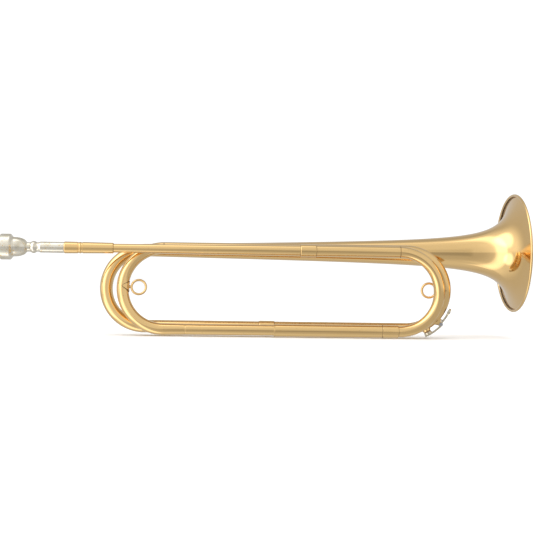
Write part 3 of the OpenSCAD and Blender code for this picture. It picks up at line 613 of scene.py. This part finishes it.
slide_bend = span_of("slide_upper_leg")[1]
slide_bow_start = span_of("slide_bow")[0]
hollow(piece(
    "slide_crook",
    bow(return_yz, (0, 0), slide_bend, 1, sleeve_r, leg(slide_bow_start, slide_bend, sleeve_r, sleeve_r),
        [(slide_bend, sleeve_r - 0.18), (slide_bend + 0.05, sleeve_r - 0.05)]),
    gold, "tuning_slide", "slide_bow",
))
left_bend, rear_left_bend, rear_bend = middle_start, span_of("bell_tail")[0], 358.0
hollow(piece(
    "front_left_crook",
    bow(return_yz, middle_yz, left_bend, -1, 6.2, leg(first_start, left_bend, 5.7, 6.2), []),
    gold, "horn", "front_left_bow",
))
hollow(piece(
    "rear_right_crook",
    bow(second_yz, middle_yz, rear_bend, 1, 6.4, leg(rear_lower_joint, rear_bend, 6.45, 6.4),
        leg(rear_upper_joint, rear_bend, 6.4, 6.4)),
    gold, "horn", "rear_right_bow",
))
tail_yz = (27.3, -1.2)
hollow(piece(
    "rear_left_crook",
    bow(second_yz, tail_yz, rear_left_bend, -1, 6.7,
        [(second_start, 6.45), (back_ferrule_start, 6.45), (rear_left_bend, 6.7)], []),
    gold, "horn", "rear_left_bow",
))

# ------------------------------------------------------------------ bell
# Spun from thin sheet over a mandrel: a long slow cone that opens at the last moment. The
# rim is rolled back over a steel wire, which makes a round bead.
bell_len, bell_r, bead_r = 398.5, 64.3, 1.5
tail_r, cone, flare, power = 6.7, 0.0145, 15.4, 1.15
sheet = 0.5
bell_frame = (
    Matrix.Translation((rear_left_bend, *tail_yz))
    @ Matrix.Rotation(math.radians(2.6), 4, "Z")
    @ Matrix.Rotation(math.radians(-0.36), 4, "Y")
    @ Matrix.Rotation(math.pi / 2, 4, "Y")
)
curl_r = bead_r - sheet
curl_start = 105.0
mouth_r = bell_r - bead_r + curl_r * math.cos(math.radians(curl_start))
mouth_at = bell_len + curl_r * math.sin(math.radians(curl_start))
flare_gain = mouth_r - tail_r - cone * mouth_at


def opening(x):
    return (flare / (mouth_at - x + flare)) ** power


def bell_radius(x):
    """Outside radius of the bell at a distance along its own axis."""
    return tail_r + cone * x + flare_gain * (opening(x) - opening(0)) / (1 - opening(0))


bell_line = [(bell_radius(x), x) for x in (mouth_at * (1 - (1 - i / 150) ** 2.2) for i in range(151))]
bell_line += arc(bell_r - bead_r, bell_len, curl_r, curl_r, curl_start, -150, 36)[1:]
bell_inside = []
for i, (r, x) in enumerate(bell_line):
    before, after = bell_line[max(i - 1, 0)], bell_line[min(i + 1, len(bell_line) - 1)]
    run = Vector((after[0] - before[0], after[1] - before[1])).normalized()
    bell_inside.append((r - run.y * sheet, x + run.x * sheet))
piece(
    "flared_bell", turned(bell_line + bell_inside[::-1], bell_frame, 140), gold, "horn", "bell_flare",
    crease=60, stands_for=("bell_tail",),
)

spare_wire = Finish("rim_wire_steel", Metallic=1.0, Roughness=0.4)
rust = spare_wire.noise(0.002, 3.0)
spare_wire.feed(
    Base_Color=spare_wire.blend(rust, (0.5, 0.5, 0.5, 1), (0.4, 0.36, 0.32, 1)),
    Roughness=0.35 + 0.2 * rust,
)

# ------------------------------------------------------------------ strap rings
# Wire rings for a cord, each soldered to a diamond-shaped foot by a short neck. The foot is
# sheet brass, wrapped round the inner side of a bow, and solder shows all round it.
def bow_frame(low_yz, high_yz, bend_x, side, turn=0.0):
    """At a bow's centre: X points out at an angle above its middle, Z is the bow's axis."""
    low, high = Vector((0.0, *low_yz)), Vector((0.0, *high_yz))
    up = (high - low).normalized()
    along = Vector((side, 0.0, 0.0))
    a = math.radians(turn)
    out, rise = along * math.cos(a) + up * math.sin(a), up * math.cos(a) - along * math.sin(a)
    centre = (low + high) / 2 + Vector((bend_x, 0.0, 0.0))
    turned_to = Matrix((out, rise, out.cross(rise))).transposed().to_4x4()
    return Matrix.Translation(centre) @ turned_to, (high - low).length / 2


def diamond(bow_r, r, half, reach):
    """A diamond wrapped round the inner side of a tube bent to bow_r, as a skin."""
    shape = bmesh.new()
    bmesh.ops.create_grid(shape, x_segments=48, y_segments=20, size=1.0)
    for vert in shape.verts:
        a = vert.co.x * math.radians(reach)
        along = vert.co.y * half * (1 - abs(vert.co.x)) ** 0.85 / (bow_r - r)
        from_centre = bow_r - r * math.cos(a)
        vert.co = (from_centre * math.cos(along), from_centre * math.sin(along), r * math.sin(a))
    bmesh.ops.remove_doubles(shape, verts=shape.verts, dist=0.01)
    return shape


def strap_ring(side_name, frame_at, bow_r, r):
    """A foot, its solder line, its neck and its ring."""
    foot_t, neck_len, wire_r, half = 0.8, 1.7, 1.2, 5.6
    ring_node = side_name + "_strap_ring"
    low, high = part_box(ring_node)
    centre = frame_at.inverted() @ ((low + high) / 2 / MM)
    ring_r = (high.x - low.x) / 2 / MM - 1.05
    for name, finish, top, extra in (
        ("_ring_foot_plate", gold, foot_t, 0.0), ("_ring_foot_solder", soot, 0.3, 0.75),
    ):
        skin = diamond(bow_r, r + top, half + extra, 92 + 6 * extra)
        bmesh.ops.transform(skin, matrix=frame_at, verts=skin.verts)
        made = piece(side_name + name, skin, finish, "horn", crease=50)
        if not extra:
            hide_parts(side_name + "_ring_foot")
    neck = turned(
        [(0, 0), (1.9, 0), (1.5, 0.5), (1.3, 1.0), (1.5, neck_len + 0.5), (0, neck_len + 0.5)],
        frame_at @ Matrix.Translation((bow_r - r - foot_t + 0.1, 0, 0)) @ Matrix.Rotation(-math.pi / 2, 4, "Y"), 32,
    )
    piece(side_name + "_ring_neck", neck, gold, "horn")
    section = arc(ring_r, 0.0, wire_r, wire_r, 0, 345, 23)
    piece(
        side_name + "_wire_ring", turned(section, frame_at @ Matrix.Translation(centre), 96),
        gold, "horn", ring_node,
    )


left_at, left_bow_r = bow_frame(return_yz, middle_yz, left_bend, -1, 2.0)
strap_ring("left", left_at, left_bow_r, 6.2)
right_at, right_bow_r = bow_frame(second_yz, middle_yz, rear_bend, 1)
strap_ring("right", right_at, right_bow_r, 6.4)

# ------------------------------------------------------------------ carried-over parts
# The stays, the bell's rim wire and the water-key parts keep their exact shapes and get their finishes here; the
# key gets a thumb pad.
nodes = frame["nodes"]


def dress(node, finish):
    """Gives a part that is kept as it is its finish."""
    nodes[node].data.materials.clear()
    nodes[node].data.materials.append(finish.material)


for node in (
    "leadpipe_stay", "slide_sleeve_stay", "bell_stay", "return_stay", "water_key_spout",
    "water_key_saddle",
):
    dress(node, gold)
dress("bell_rim_wire", spare_wire)

nickel = Finish("key_nickel", Metallic=1.0, Roughness=0.2)
haze = nickel.noise(0.003, 3.0)
nickel.feed(
    Base_Color=nickel.blend(haze, (0.7, 0.65, 0.54, 1), (0.56, 0.45, 0.27, 1)),
    Roughness=0.14 + 0.12 * haze,
)
steel = Finish("key_steel", Metallic=1.0, Roughness=0.3)
grain = steel.noise(0.0005, 2.0)
steel.feed(
    Base_Color=steel.blend(grain, (0.5, 0.5, 0.5, 1), (0.36, 0.36, 0.38, 1)),
    Roughness=0.25 + 0.15 * grain,
)
cork = Finish("key_cork", Roughness=0.85)
cells = cork.noise(0.0006, 3.0)
pores = cork.noise(0.0012, 2.0).ramp(0.6, 0.66)
cork.feed(
    Base_Color=cork.blend(pores, (0.42, 0.25, 0.12, 1), (0.12, 0.06, 0.03, 1)),
    Normal=cork.bump(cells, 0.4, 0.0002),
)
for node in ("water_key_lever", "water_key_cork_cap"):
    dress(node, nickel)
for node in ("water_key_screw", "water_key_spring"):
    dress(node, steel)
dress("water_key_cork", cork)
touch_at = bow_frame(second_yz, middle_yz, rear_bend, 1, -26.5)[0]
thumb_pad = turned(
    [(0.0, 0.0), (3.7, 0.0)] + arc(0.0, 0.3, 3.9, 2.2, 0, 90, 16),
    touch_at @ Matrix.Translation((right_bow_r + 6.4 + 2.8, 0, 0)) @ Matrix.Rotation(math.pi / 2, 4, "Y"), 48,
)
piece("water_key_touch", thumb_pad, nickel, "water_key")
